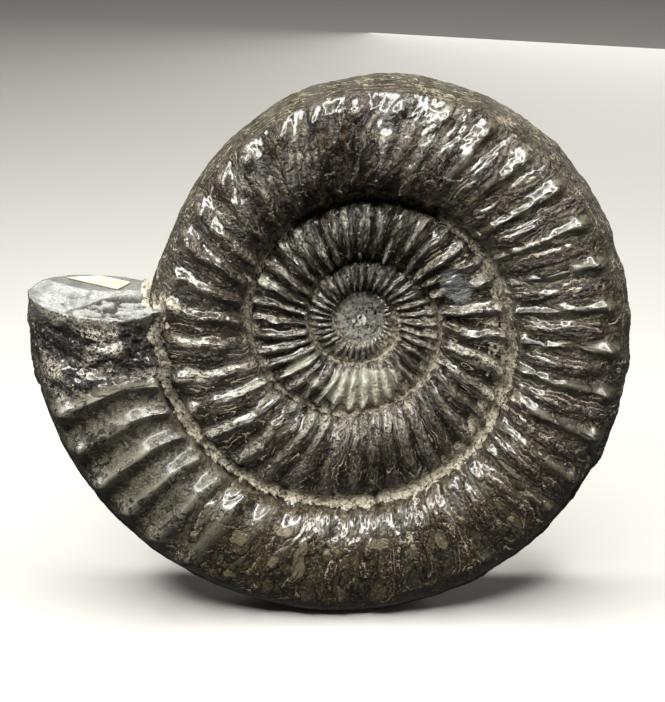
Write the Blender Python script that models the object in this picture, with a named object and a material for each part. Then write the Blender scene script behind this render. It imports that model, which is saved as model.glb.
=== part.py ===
# Ammonite fossil standing on the outer edge of its coil, with a blank paper slip on its broken end.
# The coil lies in the XZ plane and its axis runs along Y, with the front towards -Y.
# A coil angle of 0 points left. It grows clockwise as seen from the front, past 360 for later turns.

import math

import bmesh
import bpy
from mathutils import Vector

MM = 0.001

# Distance from the coil axis to the seam between two turns: coil angle in degrees, radius in mm.
# The last six give where a further turn would have touched, which is the edge of the outer side.
SEAM_RADIUS = (
    (-1080, 1.9), (-900, 3.0), (-720, 4.5), (-540, 6.1), (-360, 8.7), (-180, 12.9), (-90, 15.1), (0, 18.1),
    (90, 21.6), (180, 24.9), (270, 29.8), (360, 32.6), (405, 34.1), (450, 38.4), (495, 40.8), (540, 42.4),
    (630, 48.2), (725, 51.7),
)
# Half of the thickness of a turn along Y: coil angle in degrees, half thickness in mm.
HALF_WIDTH = ((-1080, 1.5), (-720, 2.9), (-360, 4.9), (-180, 6.3), (0, 8.2), (180, 10.4), (364, 13.0))
FIRST_ANGLE = -1080.0
END_ANGLE = 365.5
SEAM_LEVEL = 0.68
SQUARENESS = 2.3
# A turn is thickest nearer to its inner seam: the shares of its half height inwards and outwards.
INNER_SHARE = 0.8
OUTER_SHARE = 1.2
FIRST_TURNS_SHIFT = (0.6, 0.5)
SHIFT_RADII = (5.0, 30.0)

# Ribs: number of a rib and the coil angle of its crest. Ribs between two entries are evenly spaced.
RIB_ANGLE = (
    (-111, -1080.0), (-74, -716.0), (-37, -356.5), (-33, -314.0), (-29, -277.0), (-25, -240.0),
    (-21, -203.0), (-17, -154.0), (-13, -120.0), (-9, -89.0), (-5, -51.0), (0, 6.5), (4, 47.0),
    (8, 86.0), (12, 130.0), (16, 172.0), (20, 214.0), (24, 249.0), (28, 279.0), (32, 313.5),
    (36, 345.5), (39, 371.0),
)
# How high the ribs stand on each stretch of the coil, as a share of the full height.
RIB_STRENGTH = (
    (-1080, 0.8), (-540, 1.3), (-180, 1.25), (0, 0.95), (110, 1.0), (140, 1.25), (205, 1.25), (230, 0.8),
    (290, 0.8), (315, 1.1), (347, 1.2), (353, 0.25), (366, 0.1),
)
RIB_HEIGHT_PER_RADIUS = 0.033
RIB_LEAN = 4.0
RIB_WIDENING = 0.55
BULB_AT = 0.2
NODE_AT = 0.92
REST_ANGLE = 273.0
REST_SPREAD = 15.0
REST_LEVEL = -49.9

# Rows of points across a turn: 0 is the seam with the turn inside it, 1 the edge of the outer side
# and 2 the middle of the outer side.
FLANK_ROWS = (0.0, 0.12, 0.28, 0.58, 0.92)
OUTER_ROWS = (1.0, 1.35, 1.7, 2.0)
# Columns of points along the coil: start angle and columns for each rib from there on.
COLUMNS_PER_RIB = ((-1080.0, 0.5), (-720.0, 2.0), (-357.0, 4.0))

# The broken end: its rings of points, and the hollows and lumps of the break as a place across the
# turn from the axis outwards, a place along Y, a spread and a depth, all in mm.
BREAK_RINGS = (0.86, 0.5)
BREAK_LUMPS = ((38.5, -9.5, 3.5, -1.3), (50.5, -9.0, 4.0, -0.8), (35.2, 1.0, 1.8, 2.6))

# The paper slip: corners on the broken end as distance from the coil axis and place along Y, in mm.
SLIP_CORNERS = ((49.0, 7.4), (43.8, 10.6), (38.3, 8.0), (40.0, 3.2))
SLIP_GAP = 0.3
SLIP_THICKNESS = 0.3
SLIP_ROUNDING = 0.25


def through(points, x):
    """A smooth curve through the given points, level beyond both ends."""
    if x <= points[0][0]:
        return points[0][1]
    if x >= points[-1][0]:
        return points[-1][1]
    i = 0
    while points[i + 1][0] < x:
        i += 1
    x0, y0 = points[i]
    x1, y1 = points[i + 1]
    xa, ya = points[max(i - 1, 0)]
    xb, yb = points[min(i + 2, len(points) - 1)]
    span = x1 - x0
    slope0 = (y1 - ya) / (x1 - xa) * span
    slope1 = (yb - y0) / (xb - x0) * span
    t = (x - x0) / span
    rest = 1.0 - t
    return (y0 * (1 + 2 * t) + slope0 * t) * rest * rest + (y1 * (3 - 2 * t) - slope1 * rest) * t * t


def straight(points, x):
    """Straight lines through the given points."""
    i = 0
    while i < len(points) - 2 and points[i + 1][0] < x:
        i += 1
    x0, y0 = points[i]
    x1, y1 = points[i + 1]
    return y0 + (y1 - y0) * (x - x0) / (x1 - x0)


def bump(distance, spread):
    """A rounded bump, 1 at its middle and close to 0 past twice its spread."""
    return math.exp(-((distance / spread) ** 2))


def ease(start, end, x):
    """Rises smoothly from 0 at the start to 1 at the end."""
    t = min(max((x - start) / (end - start), 0.0), 1.0)
    return t * t * (3.0 - 2.0 * t)


def half_width(angle):
    return through(HALF_WIDTH, angle)


def rib_number(angle):
    return straight([(a, n) for n, a in RIB_ANGLE], angle)


def rib_wave(angle, across):
    """1 on the crest of a rib and 0 in the valley between two ribs, which lean forward outwards."""
    lean = RIB_LEAN * (min(across, 1.0) - 0.5)
    phase = rib_number(angle - lean)
    wave = 0.5 + 0.5 * math.cos(2.0 * math.pi * phase)
    return wave ** 1.3


def rib_height(angle, across, radius):
    """Height of a rib at this place: nothing at the seam, a bulb, a low flank, a node, a low end."""
    flank = 0.75 * ease(0.0, 0.16, across) + 0.45 * bump(across - BULB_AT, 0.1)
    node = 0.75 * bump(across - NODE_AT, 0.1)
    over = 1.0 - 0.6 * ease(1.0, 1.35, across)
    covered = 1.0 - ease(END_ANGLE - 340.0, END_ANGLE - 352.0, angle) * ease(0.85, 1.0, across)
    rest = 1.0 - bump(angle - REST_ANGLE, REST_SPREAD) * ease(0.95, 1.2, across)
    full = RIB_HEIGHT_PER_RADIUS * radius * through(RIB_STRENGTH, angle)
    return full * (flank + node) * over * covered * rest


def section(angle, across):
    """Radius and Y offset of the smooth turn at a place across it, with its middle and half height."""
    width = half_width(angle)
    inner = through(SEAM_RADIUS, angle)
    outer = through(SEAM_RADIUS, angle + 360.0)
    power = SQUARENESS / 2.0
    inner_y = SEAM_LEVEL * half_width(angle - 360.0)
    start = math.asin((inner_y / width) ** power)
    end = math.pi - math.asin(SEAM_LEVEL ** power)
    reach_in = math.cos(start) ** (1.0 / power)
    reach_out = (-math.cos(end)) ** (1.0 / power)
    half = (outer - inner) / (INNER_SHARE * reach_in + OUTER_SHARE * reach_out)
    middle = inner + half * INNER_SHARE * reach_in
    if across <= 1.0:
        sweep = start + across * (end - start)
    else:
        sweep = end + (across - 1.0) * (math.pi - end)
    cosine = math.cos(sweep)
    share = INNER_SHARE if cosine > 0.0 else -OUTER_SHARE
    radius = middle - half * share * abs(cosine) ** (1.0 / power)
    offset = width * max(math.sin(sweep), 0.0) ** (1.0 / power)
    return radius, offset, middle, half


def place(angle, radius, offset):
    """Point at a coil angle, distance from the axis and Y offset; the first turns sit off centre."""
    inward = ease(SHIFT_RADII[1], SHIFT_RADII[0], radius)
    turn = math.radians(angle)
    x = FIRST_TURNS_SHIFT[0] * inward - radius * math.cos(turn)
    z = FIRST_TURNS_SHIFT[1] * inward + radius * math.sin(turn)
    return Vector((x, offset, max(z, REST_LEVEL)))


def coil_point(angle, across, side):
    """Point of the ribbed surface; side is -1 at the front and 1 at the back."""
    radius, offset, middle, half = section(angle, across)
    height = rib_height(angle, across, middle) * rib_wave(angle, across)
    swell = height / half
    radius = radius + (radius - middle) * swell * RIB_WIDENING
    offset = offset * (1.0 + height / half_width(angle))
    return place(angle, radius, side * offset)


def column_angles():
    """Coil angles of the columns, with one exactly where each turn begins to be covered or bared."""
    fixed = (FIRST_ANGLE, FIRST_ANGLE + 360.0, END_ANGLE - 360.0, END_ANGLE)
    angles = list(fixed)
    by_number = list(RIB_ANGLE)
    number = rib_number(FIRST_ANGLE)
    last = rib_number(END_ANGLE)
    while number < last:
        angle = straight(by_number, number)
        per_rib = [count for start, count in COLUMNS_PER_RIB if angle >= start - 0.01][-1]
        spacing = 9.7 / per_rib
        if all(abs(angle - other) > 0.45 * spacing for other in fixed):
            angles.append(angle)
        number += 1.0 / per_rib
    return sorted(angles)


def quad_strip(mesh, first, second):
    """Faces between two lines of points of equal length."""
    for i in range(len(first) - 1):
        mesh.faces.new((first[i], first[i + 1], second[i + 1], second[i]))


def zip_lines(mesh, first, first_angles, second, second_angles):
    """Triangles between two lines of points of different spacing, paired by their coil angles."""
    i = 0
    j = 0
    while i < len(first) - 1 or j < len(second) - 1:
        next_first = math.inf
        if i < len(first) - 1:
            next_first = first_angles[i] + first_angles[i + 1]
        next_second = math.inf
        if j < len(second) - 1:
            next_second = second_angles[j] + second_angles[j + 1]
        if next_first <= next_second:
            mesh.faces.new((first[i], first[i + 1], second[j]))
            i += 1
        else:
            mesh.faces.new((first[i], second[j + 1], second[j]))
            j += 1


def fan(mesh, ring, middle):
    """Triangles from a closed ring of points to one point."""
    for i, point in enumerate(ring):
        mesh.faces.new((point, ring[(i + 1) % len(ring)], middle))


def flank(mesh, angles, side):
    """One face of the coil: its rows of points, with each turn joined to the seam of the next."""
    rows = []
    for across in FLANK_ROWS:
        rows.append([mesh.verts.new(coil_point(angle, across, side)) for angle in angles])
    for inner, outer in zip(rows, rows[1:]):
        quad_strip(mesh, inner, outer)
    covered = angles.index(END_ANGLE - 360.0) + 1
    second_turn = angles.index(FIRST_ANGLE + 360.0)
    zip_lines(
        mesh,
        rows[-1][:covered],
        angles[:covered],
        rows[0][second_turn:],
        [angle - 360.0 for angle in angles[second_turn:]],
    )
    ring = rows[0][:second_turn + 1] + [row[0] for row in reversed(rows[1:])]
    middle = mesh.verts.new(place(0.0, 0.0, side * half_width(FIRST_ANGLE)))
    fan(mesh, ring, middle)
    return rows


def outer_side(mesh, angles, front, back):
    """The outer side of the last turn, from its front edge round to its back edge."""
    bared = angles.index(END_ANGLE - 360.0)
    shown = angles[bared:]
    lines = [front[-1][bared:]]
    for side in (-1, 1):
        rows = OUTER_ROWS if side < 0 else OUTER_ROWS[-2::-1]
        seam = front[0][-1] if side < 0 else back[0][-1]
        for across in rows:
            line = [mesh.verts.new(coil_point(angle, across, side)) for angle in shown[1:]]
            start = seam if across == 1.0 else mesh.verts.new(coil_point(shown[0], across, side))
            lines.append([start] + line)
    lines.append(back[-1][bared:])
    for first, second in zip(lines, lines[1:]):
        quad_strip(mesh, first, second)
    return lines


def break_height(radius, offset):
    """How far the broken end stands out from a flat cut at this place."""
    height = 0.0
    for lump_radius, lump_y, spread, depth in BREAK_LUMPS:
        height += depth * bump(math.hypot(radius - lump_radius, offset - lump_y), spread)
    return height


def on_break(radius, offset, height):
    """Point over the flat cut at the end of the coil."""
    turn = math.radians(END_ANGLE)
    point = place(END_ANGLE, radius, offset)
    return point + Vector((math.sin(turn), 0.0, math.cos(turn))) * height


def broken_end(mesh, front, back, lines):
    """The break across the last turn, inside the ring of its edge."""
    edge = [row[-1] for row in front]
    edge += [line[-1] for line in lines[1:-1]]
    edge += [row[-1] for row in reversed(back)]
    edge += [line[0] for line in reversed(lines[2:-2])]
    turn = math.radians(END_ANGLE)
    outward = Vector((-math.cos(turn), 0.0, math.sin(turn)))
    flat = [(point.co.dot(outward), point.co.y) for point in edge]
    middle_radius = sum(radius for radius, _ in flat) / len(flat)
    ring = edge
    for share in BREAK_RINGS:
        inner_ring = []
        for radius, offset in flat:
            new_radius = middle_radius + (radius - middle_radius) * share
            new_offset = offset * share
            height = break_height(new_radius, new_offset)
            inner_ring.append(mesh.verts.new(on_break(new_radius, new_offset, height)))
        quad_strip(mesh, ring + ring[:1], inner_ring + inner_ring[:1])
        ring = inner_ring
    fan(mesh, ring, mesh.verts.new(on_break(middle_radius, 0.0, break_height(middle_radius, 0.0))))


def ammonite_mesh():
    """The whole fossil as one closed surface, in mm about the coil axis."""
    mesh = bmesh.new()
    angles = column_angles()
    front = flank(mesh, angles, -1)
    back = flank(mesh, angles, 1)
    lines = outer_side(mesh, angles, front, back)
    broken_end(mesh, front, back, lines)
    bmesh.ops.triangulate(mesh, faces=mesh.faces[:])
    bmesh.ops.recalc_face_normals(mesh, faces=mesh.faces[:])
    return mesh


def slip_mesh():
    """The thin paper slip, a four-sided sheet just over the broken end."""
    mesh = bmesh.new()
    flat = [Vector(corner) for corner in SLIP_CORNERS]
    outline = []
    for i, corner in enumerate(flat):
        before = (flat[i - 1] - corner).normalized()
        after = (flat[(i + 1) % len(flat)] - corner).normalized()
        outline.append(corner + before * SLIP_ROUNDING)
        outline.append(corner + after * SLIP_ROUNDING)
    lower = []
    for radius, offset in outline:
        height = break_height(radius, offset) + SLIP_GAP
        lower.append(mesh.verts.new(on_break(radius, offset, height)))
    bottom = mesh.faces.new(lower)
    turn = math.radians(END_ANGLE)
    lift = Vector((math.sin(turn), 0.0, math.cos(turn))) * SLIP_THICKNESS
    grown = bmesh.ops.extrude_face_region(mesh, geom=[bottom])
    top = [item for item in grown["geom"] if isinstance(item, bmesh.types.BMVert)]
    bmesh.ops.translate(mesh, verts=top, vec=lift)
    bmesh.ops.triangulate(mesh, faces=mesh.faces[:])
    bmesh.ops.recalc_face_normals(mesh, faces=mesh.faces[:])
    return mesh


def material(name, colour, roughness, metallic):
    """A plain surface of one colour."""
    made = bpy.data.materials.new(name)
    made.use_nodes = True
    shader = made.node_tree.nodes["Principled BSDF"]
    shader.inputs["Base Color"].default_value = (*colour, 1.0)
    shader.inputs["Roughness"].default_value = roughness
    shader.inputs["Metallic"].default_value = metallic
    return made


def add_object(name, mesh, surface, centre):
    """Put a mesh given in mm into the scene in metres, with the given point at the origin."""
    for vertex in mesh.verts:
        vertex.co = (vertex.co - centre) * MM
    data = bpy.data.meshes.new(name)
    mesh.to_mesh(data)
    mesh.free()
    data.materials.append(surface)
    made = bpy.data.objects.new(name, data)
    bpy.context.scene.collection.objects.link(made)
    data.shade_smooth()
    data.set_sharp_from_angle(angle=math.radians(50.0))
    return made


def middle_of_base(mesh):
    """The middle of the bounding box, at its lowest level."""
    low = [min(vertex.co[axis] for vertex in mesh.verts) for axis in range(3)]
    high = [max(vertex.co[axis] for vertex in mesh.verts) for axis in range(3)]
    return Vector(((low[0] + high[0]) / 2.0, (low[1] + high[1]) / 2.0, low[2]))


for old in list(bpy.data.objects):
    bpy.data.objects.remove(old, do_unlink=True)

stone = material("fossil_stone", (0.075, 0.062, 0.045), 0.35, 0.0)
paper = material("paper", (0.72, 0.67, 0.53), 0.8, 0.0)
fossil = ammonite_mesh()
base = middle_of_base(fossil)
add_object("ammonite", fossil, stone, base)
add_object("paper_label", slip_mesh(), paper, base)
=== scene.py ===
import math

import bmesh
import bpy
import numpy as np
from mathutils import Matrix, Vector


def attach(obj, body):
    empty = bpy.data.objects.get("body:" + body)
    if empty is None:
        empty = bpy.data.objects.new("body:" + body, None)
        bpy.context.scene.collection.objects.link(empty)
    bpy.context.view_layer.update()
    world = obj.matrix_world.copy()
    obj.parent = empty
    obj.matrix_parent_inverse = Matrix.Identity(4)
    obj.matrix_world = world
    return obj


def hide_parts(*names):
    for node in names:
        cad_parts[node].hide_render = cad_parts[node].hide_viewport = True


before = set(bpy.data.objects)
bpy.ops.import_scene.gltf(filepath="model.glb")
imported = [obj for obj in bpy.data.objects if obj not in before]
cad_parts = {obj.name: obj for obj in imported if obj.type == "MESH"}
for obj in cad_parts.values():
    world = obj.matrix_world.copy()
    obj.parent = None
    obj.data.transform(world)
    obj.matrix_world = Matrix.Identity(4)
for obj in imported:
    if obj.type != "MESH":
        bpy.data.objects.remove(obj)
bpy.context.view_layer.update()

# The ammonite: one dark, brown-grey fossil. Its shell and the mud that filled it turned to stone together.
# Rolled into an open coil of about five turns with close ribs, it was freed from its rock by hand, polished
# by that work on the ribs, and broken off across the last turn, where the fresh stone is pale.
MM = 0.001
COIL_AXIS = (4.501, 0.0, 49.9)
FRONT, BACK = -1, 1

# Distance from the coil axis to the seam between two turns: coil angle in degrees, radius in mm. An angle
# of 0 points left and grows clockwise from the front. Past END_ANGLE it is the edge of the outer side.
SEAM_RADIUS = (
    (-1440, 0.8), (-1260, 1.25), (-1080, 1.9), (-900, 3.0), (-720, 4.5), (-540, 6.1), (-360, 8.7),
    (-180, 12.9), (-90, 15.1), (0, 18.1), (90, 21.6), (180, 24.9), (270, 29.8), (355, 32.4), (385, 32.0),
    (405, 33.4), (450, 38.2), (495, 40.7), (540, 42.3), (630, 48.1), (725, 51.6),
)
# Half of the thickness of a turn along Y, in mm, at a coil angle.
HALF_WIDTH = (
    (-1440, 1.1), (-1080, 1.5), (-720, 2.9), (-360, 4.9), (-180, 6.3), (0, 8.2), (180, 10.4), (364, 13.0),
)
END_ANGLE = 365.5
# A turn's outer edge lies this far from the mid-plane, as a share of its half thickness. So does the seam
# of the turn that lies on it.
SEAM_LEVEL = 0.68
SQUARENESS = 2.3
# A turn is thickest nearer to its inner seam: half heights inwards and outwards of its thickest place.
INNER_SHARE, OUTER_SHARE = 0.8, 1.2
# Length of a flank from its seam to its outer edge, in half heights.
FLANK_LENGTH = 2.3
# The first turns sit off centre in mm, fully up to the first radius and not at all from the second on.
FIRST_TURNS_SHIFT = (0.6, 0.5)
SHIFT_RADII = (5.0, 30.0)
# What stands further than this from the mid-plane, in mm, is worn down by half.
WORN_LEVEL = 13.4
# The first turns are filled up to a shallow dome: distance from their middle and height in mm.
DOME = ((0, 1.15), (1.3, 1.2), (3.2, 1.5), (4.5, 2.1))
# Stretches of the coil by middle and spread in degrees: the flat spot that it stands on, with its Z in mm.
REST, REST_LEVEL = (273.0, 15.0), -49.9
# Crumpled like foil, on the last turn and the one before. Ribs bold, worn smooth and faint.
FOIL, OLD_FOIL = (82.0, 46.0), (-272.0, 45.0)
BOLD, SMOOTH, FAINT = (172.0, 45.0), (268.0, 32.0), (-92.0, 48.0)
# Below and above the middle of the coil, on every inner turn, where light and shade are painted.
BELOW, ABOVE = (268.0, 52.0), (85.0, 48.0)
# Between these angles the crests turn from torn to bare and polished.
BOLD_FROM = (95.0, 130.0)

# Ribs: number of a rib and the coil angle of its crest, with even spacing between two entries.
RIB_ANGLE = (
    (-148, -1436.0), (-111, -1080.0), (-74, -716.0), (-37, -356.5), (-33, -314.0), (-29, -277.0),
    (-25, -240.0), (-21, -203.0), (-17, -154.0), (-13, -120.0), (-9, -89.0), (-5, -51.0), (0, 6.5),
    (4, 47.0), (8, 86.0), (12, 130.0), (16, 172.0), (20, 214.0), (24, 249.0), (28, 279.0),
    (32, 313.5), (36, 345.5), (39, 371.0),
)
RIB_STRENGTH = (
    (-1440, 0.3), (-1120, 0.8), (-1000, 2.4), (-540, 3.6), (-180, 3.2), (0, 2.2), (35, 2.1), (62, 1.3),
    (110, 1.15), (140, 1.6), (205, 1.6), (230, 0.9), (290, 0.85), (315, 1.25), (349, 1.6), (355, 0.25),
    (366, 0.1),
)
RIB_HEIGHT_PER_RADIUS = 0.033
RIB_WIDENING = 0.55
# Width of a crest as a share of the distance between two ribs.
CREST_WIDTH = (
    (-1440, 0.2), (0, 0.2), (60, 0.24), (130, 0.19), (215, 0.19), (240, 0.24), (300, 0.3), (366, 0.28),
)
# How far the ribs lean and bow forward, in degrees.
RIB_LEAN = (
    (-1440, 3.0), (60, 5.0), (94, 8.0), (130, 6.0), (170, 3.0), (230, 1.0), (300, 3.0), (335, 0.0),
    (366, 0.0),
)
RIB_BOW = ((-1440, 0.0), (290, 0.0), (330, 2.0), (350, 2.8), (366, 2.8))


def through(points, x):
    """Smooth curve through given points: a cubic between each pair, with slopes from their neighbours."""
    px, py = np.array(points, float).T
    slope = np.gradient(py, px)
    slope[1:-1] = (py[2:] - py[:-2]) / (px[2:] - px[:-2])
    x = np.clip(x, px[0], px[-1])
    i = np.clip(np.searchsorted(px, x) - 1, 0, len(px) - 2)
    span = px[i + 1] - px[i]
    t = (x - px[i]) / span
    rise = (py[i] * (1 + 2 * t) + slope[i] * span * t) * (1 - t) ** 2
    return rise + (py[i + 1] * (3 - 2 * t) - slope[i + 1] * span * (1 - t)) * t * t


def ease(start, end, x):
    """0 up to the start, 1 from the end on, and t * t * (3 - 2 t) between them."""
    t = np.clip((x - start) / (end - start), 0.0, 1.0)
    return t * t * (3.0 - 2.0 * t)


def bump(distance, spread):
    """e to the power of minus the squared distance over the squared spread."""
    return np.exp(-((distance / spread) ** 2))


def near(angle, stretch):
    """A bump on a stretch of the coil, given by its middle and spread in degrees."""
    return bump(angle - stretch[0], stretch[1])


def grain(where, size, seed):
    """Gradient noise, about -1 to 1: at each corner of a lattice of this size a random direction, whose
    dot products with the way to the point are blended with a fifth-power ease."""
    where = np.asarray(where, float) / size + 31.7 * seed
    cell = np.floor(where).astype(np.int64)
    part = where - cell
    blend = part ** 3 * (part * (part * 6 - 15) + 10)
    total = np.zeros(where.shape[:-1])
    for corner in np.ndindex(2, 2, 2):
        at = cell + np.array(corner)
        mixed = at[..., 0] * 374761393 + at[..., 1] * 668265263 + at[..., 2] * 2147483647 + seed * 97
        mixed = (mixed ^ (mixed >> 13)) * 1274126177 & 0xFFFFFFFF
        mixed = mixed ^ (mixed >> 16)
        way = np.stack([(mixed >> shift & 1023) / 511.5 - 1.0 for shift in (0, 10, 20)], -1)
        weight = np.prod(np.where(np.array(corner) == 1, blend, 1.0 - blend), -1)
        total += weight * np.sum(way * (part - np.array(corner)), -1)
    return total * 1.5


def layers(where, size, seed, count=4, fade=0.5):
    """Sum of noises, each of half the size and a set share of the height of the one before."""
    return sum(grain(where, size / 2 ** i, seed + i) * fade ** i for i in range(count))


def crumple(where, size, seed):
    """Sharp-topped folds: one minus 2.2 times a noise without its sign, mixed with one of half the size."""
    folds = 1.0 - 2.2 * np.abs(grain(where, size, seed))
    return 0.65 * folds + 0.35 * (1.0 - 2.2 * np.abs(grain(where, size / 2.1, seed + 5)))


def section(angle, across):
    """A turn's smooth outline: a rounded square of radius and offset from the mid-plane, |r/h|^n + |y/w|^n
    = 1, swept by an angle from the seam (across 0) over the flank to its outer edge (1) and on to the
    mid-plane (2). Its middle and half height fit both seams."""
    width = through(HALF_WIDTH, angle)
    inner = through(SEAM_RADIUS, angle)
    outer = through(SEAM_RADIUS, angle + 360.0)
    power = SQUARENESS / 2.0
    start = np.arcsin((SEAM_LEVEL * through(HALF_WIDTH, angle - 360.0) / width) ** power)
    end = math.pi - math.asin(SEAM_LEVEL ** power)
    reach_in = np.cos(start) ** (1.0 / power)
    reach_out = (-math.cos(end)) ** (1.0 / power)
    half = (outer - inner) / (INNER_SHARE * reach_in + OUTER_SHARE * reach_out)
    middle = inner + half * INNER_SHARE * reach_in
    sweep = np.where(across <= 1, start + across * (end - start), end + (across - 1) * (math.pi - end))
    cosine = np.cos(sweep)
    share = np.where(cosine > 0, INNER_SHARE, -OUTER_SHARE)
    radius = middle - half * share * np.abs(cosine) ** (1.0 / power)
    offset = width * np.maximum(np.sin(sweep), 0.0) ** (1.0 / power)
    return radius, offset, middle, half, width


def bow(angle, across):
    """How far the ribs bow forward in the middle of the flank, in degrees."""
    return through(RIB_BOW, angle) * bump(across - 0.47, 0.24)


def rib_number(angle, across):
    """Number of the rib at a place: the ribs lean forward from the seam to the outer edge, and bow."""
    lean = through(RIB_LEAN, angle) * (np.minimum(across, 1.0) - 0.5) + bow(angle, across)
    numbers, angles = np.array(RIB_ANGLE, float).T
    return np.interp(angle - lean, angles, numbers)


def rib_wave(angle, number, across, side):
    """Rounded crests one rib apart: e to the power of minus the distance over the width, to the 2.5. Each
    has a height of its own, and is widest at the bulb and the node."""
    nearest = np.round(number)
    wide = 0.85 + 0.35 * bump(across - 0.18, 0.16) + 0.2 * bump(across - 0.9, 0.1)
    wide = through(CREST_WIDTH, angle) * wide
    own = 1.0 + 0.14 * np.sin(nearest * 12.9898 + side * ease(2.0, 1.0, across))
    own = own + 0.08 * np.sin(nearest * 4.1)
    crest = np.exp(-np.abs((number - nearest) / wide) ** 2.5)
    return (0.84 * crest + 0.16 * (0.5 + 0.5 * np.cos(2 * math.pi * number))) * own


def rib_height(angle, across):
    """Share of a rib's full height: eased in from the seam, a bump for the bulb on the inner shoulder, a low
    flank, a bump for the node at the outer edge, and eased out over the outer side."""
    bold, smooth, faint = near(angle, BOLD), near(angle, SMOOTH), near(angle, FAINT)
    flank = (0.7 - 0.1 * bold) * ease(0.05, 0.16, across)
    flank = flank * (1.0 - (0.55 * smooth + 0.75 * faint) * ease(0.25, 0.55, across))
    flank = flank + (0.65 + 0.5 * bold) * bump(across - 0.2, 0.1)
    node = (0.8 + 0.3 * bold) * bump(across - 0.9, 0.08) * (1.0 - 0.5 * smooth - 0.8 * faint)
    over = 1.0 - 0.9 * ease(1.0, 1.25, across)
    covered = 1.0 - ease(END_ANGLE - 340.0, END_ANGLE - 352.0, angle) * ease(0.85, 1.0, across)
    rest = 1.0 - near(angle, REST) * ease(0.95, 1.2, across)
    return through(RIB_STRENGTH, angle) * (flank + node) * over * covered * rest


def place(angle, radius, offset):
    """Point at a coil angle, a distance from the axis and a Y offset: minus the cosine and the sine of the
    angle, times the distance, plus the shift of the first turns, eased out over the shift's radii."""
    inward = ease(SHIFT_RADII[1], SHIFT_RADII[0], radius)
    turn = np.radians(angle)
    x = FIRST_TURNS_SHIFT[0] * inward - radius * np.cos(turn)
    z = FIRST_TURNS_SHIFT[1] * inward + radius * np.sin(turn)
    return np.stack(np.broadcast_arrays(x, offset, z), -1)


def from_first_turns(points):
    """Distance in mm from the middle of the first turns, seen from the front."""
    return np.hypot(points[..., 0] - FIRST_TURNS_SHIFT[0], points[..., 2] - FIRST_TURNS_SHIFT[1])


def fine_scale(half):
    """Size of the fine forms on a turn: its half height over 10 mm, at least 0.12 and at most 1."""
    return np.clip(half / 10.0, 0.12, 1.0)


# By coil angle: how crumpled the shell is, how many of its thin layers are left on the stone, and how far
# they are worn off the crests.
CRUMPLED = (
    (-1440, 0.6), (-900, 0.8), (-360, 1.2), (0, 1.1), (20, 1.1), (60, 1.2), (110, 1.2), (128, 1.0),
    (150, 0.9), (205, 0.9), (225, 0.6), (280, 0.4), (325, 0.25), (345, 0.25), (352, 1.0), (366, 1.0),
)
LAYERS_LEFT = (
    (-1440, 0.3), (-360, 1.2), (0, 1.6), (60, 1.0), (115, 1.0), (140, 1.2), (210, 1.3), (235, 0.9),
    (270, 0.5), (300, -0.4), (340, -1.2), (347, -1.0), (352, 2.0), (366, 2.0),
)
WORN_CRESTS = (
    (-1440, 0.6), (-360, 1.2), (0, 1.6), (60, 0.6), (115, 1.0), (140, 2.1), (215, 2.3), (240, 1.4),
    (366, 0.6),
)
# By the direction of a seam: width of its crust and depth of the groove beside it, in mm.
CRUST_WIDTH = (
    (0, 2.2), (40, 1.8), (60, 0.6), (90, 0.2), (120, 0.6), (150, 2.4), (180, 3.8), (215, 3.4),
    (240, 2.3), (270, 1.8), (300, 1.2), (345, 1.4), (360, 2.2),
)
GROOVE_DEPTH = ((0, 1.2), (45, 1.7), (90, 2.0), (130, 1.7), (180, 1.3), (270, 1.2), (360, 1.2))
# Single marks: coil angle, place across, half width along the coil and half height across it in mm, kind.
MARKS = (
    (283.9, 0.59, 1.1, 3.9, "tan"), (290.3, 0.64, 1.0, 1.3, "tan"), (290.5, 0.40, 1.7, 1.3, "tan"),
    (264.8, 0.48, 2.6, 1.3, "tan"), (256.4, 0.59, 1.6, 1.1, "tan"), (248.0, 0.59, 1.1, 1.5, "tan"),
    (270.6, 0.35, 1.0, 0.8, "tan"), (300.3, 0.57, 1.5, 1.3, "tan"), (297.3, 0.83, 1.6, 1.3, "tan"),
    (277.5, 0.52, 0.6, 0.9, "tan"), (-182.1, 0.40, 1.4, 0.7, "tan"), (-332.4, 0.83, 1.0, 0.9, "olive"),
    (-449.6, 0.55, 6.5, 3.2, "olive"), (-393.0, 0.50, 1.6, 2.6, "olive"), (-205.0, 0.53, 3.3, 2.7, "grey"),
    (244.6, 0.86, 3.4, 1.2, "flake"), (255.6, 0.87, 4.4, 0.6, "flake"),
    (85.7, 0.91, 3.6, 0.7, "flake"), (92.9, 0.34, 2.8, 0.5, "flake"), (297.0, 0.78, 2.0, 0.5, "flake"),
)
# The marks that are only a colour, with the depth that stands for none.
NO_MARKS = {"tan": -1.0, "grey": -1.0, "olive": -1.0}
# Angle where the rough chamber starts, and the size of a grid laid on the ribs for folds and flakes.
CHAMBER_START = 347.4
MM_PER_RIB = 7.0
MM_ACROSS = 24.0
# Distance in mm that stands for no seam near.
NO_SEAM = 99.0


def marked(kind, side, angle, across, middle, length):
    """Depth inside the nearest mark of this kind: one minus the distance from its middle, each way as a
    share of its half size, so that it is 0 on the mark's edge and at least -1 far from it. All marks are on
    the front."""
    depth = np.full(np.shape(angle), -1.0)
    for at, where, wide, high, own_kind in MARKS:
        if own_kind == kind and side == FRONT:
            along = np.radians(angle - at) * middle / wide
            depth = np.maximum(depth, 1.0 - np.hypot(along, (across - where) * length / high))
    return depth


def stepped(height, edge):
    """Height cut into steps: its whole part, plus an ease from 0 to 1 over the first part of each step."""
    return np.floor(height) + ease(0.0, edge, height - np.floor(height))


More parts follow.
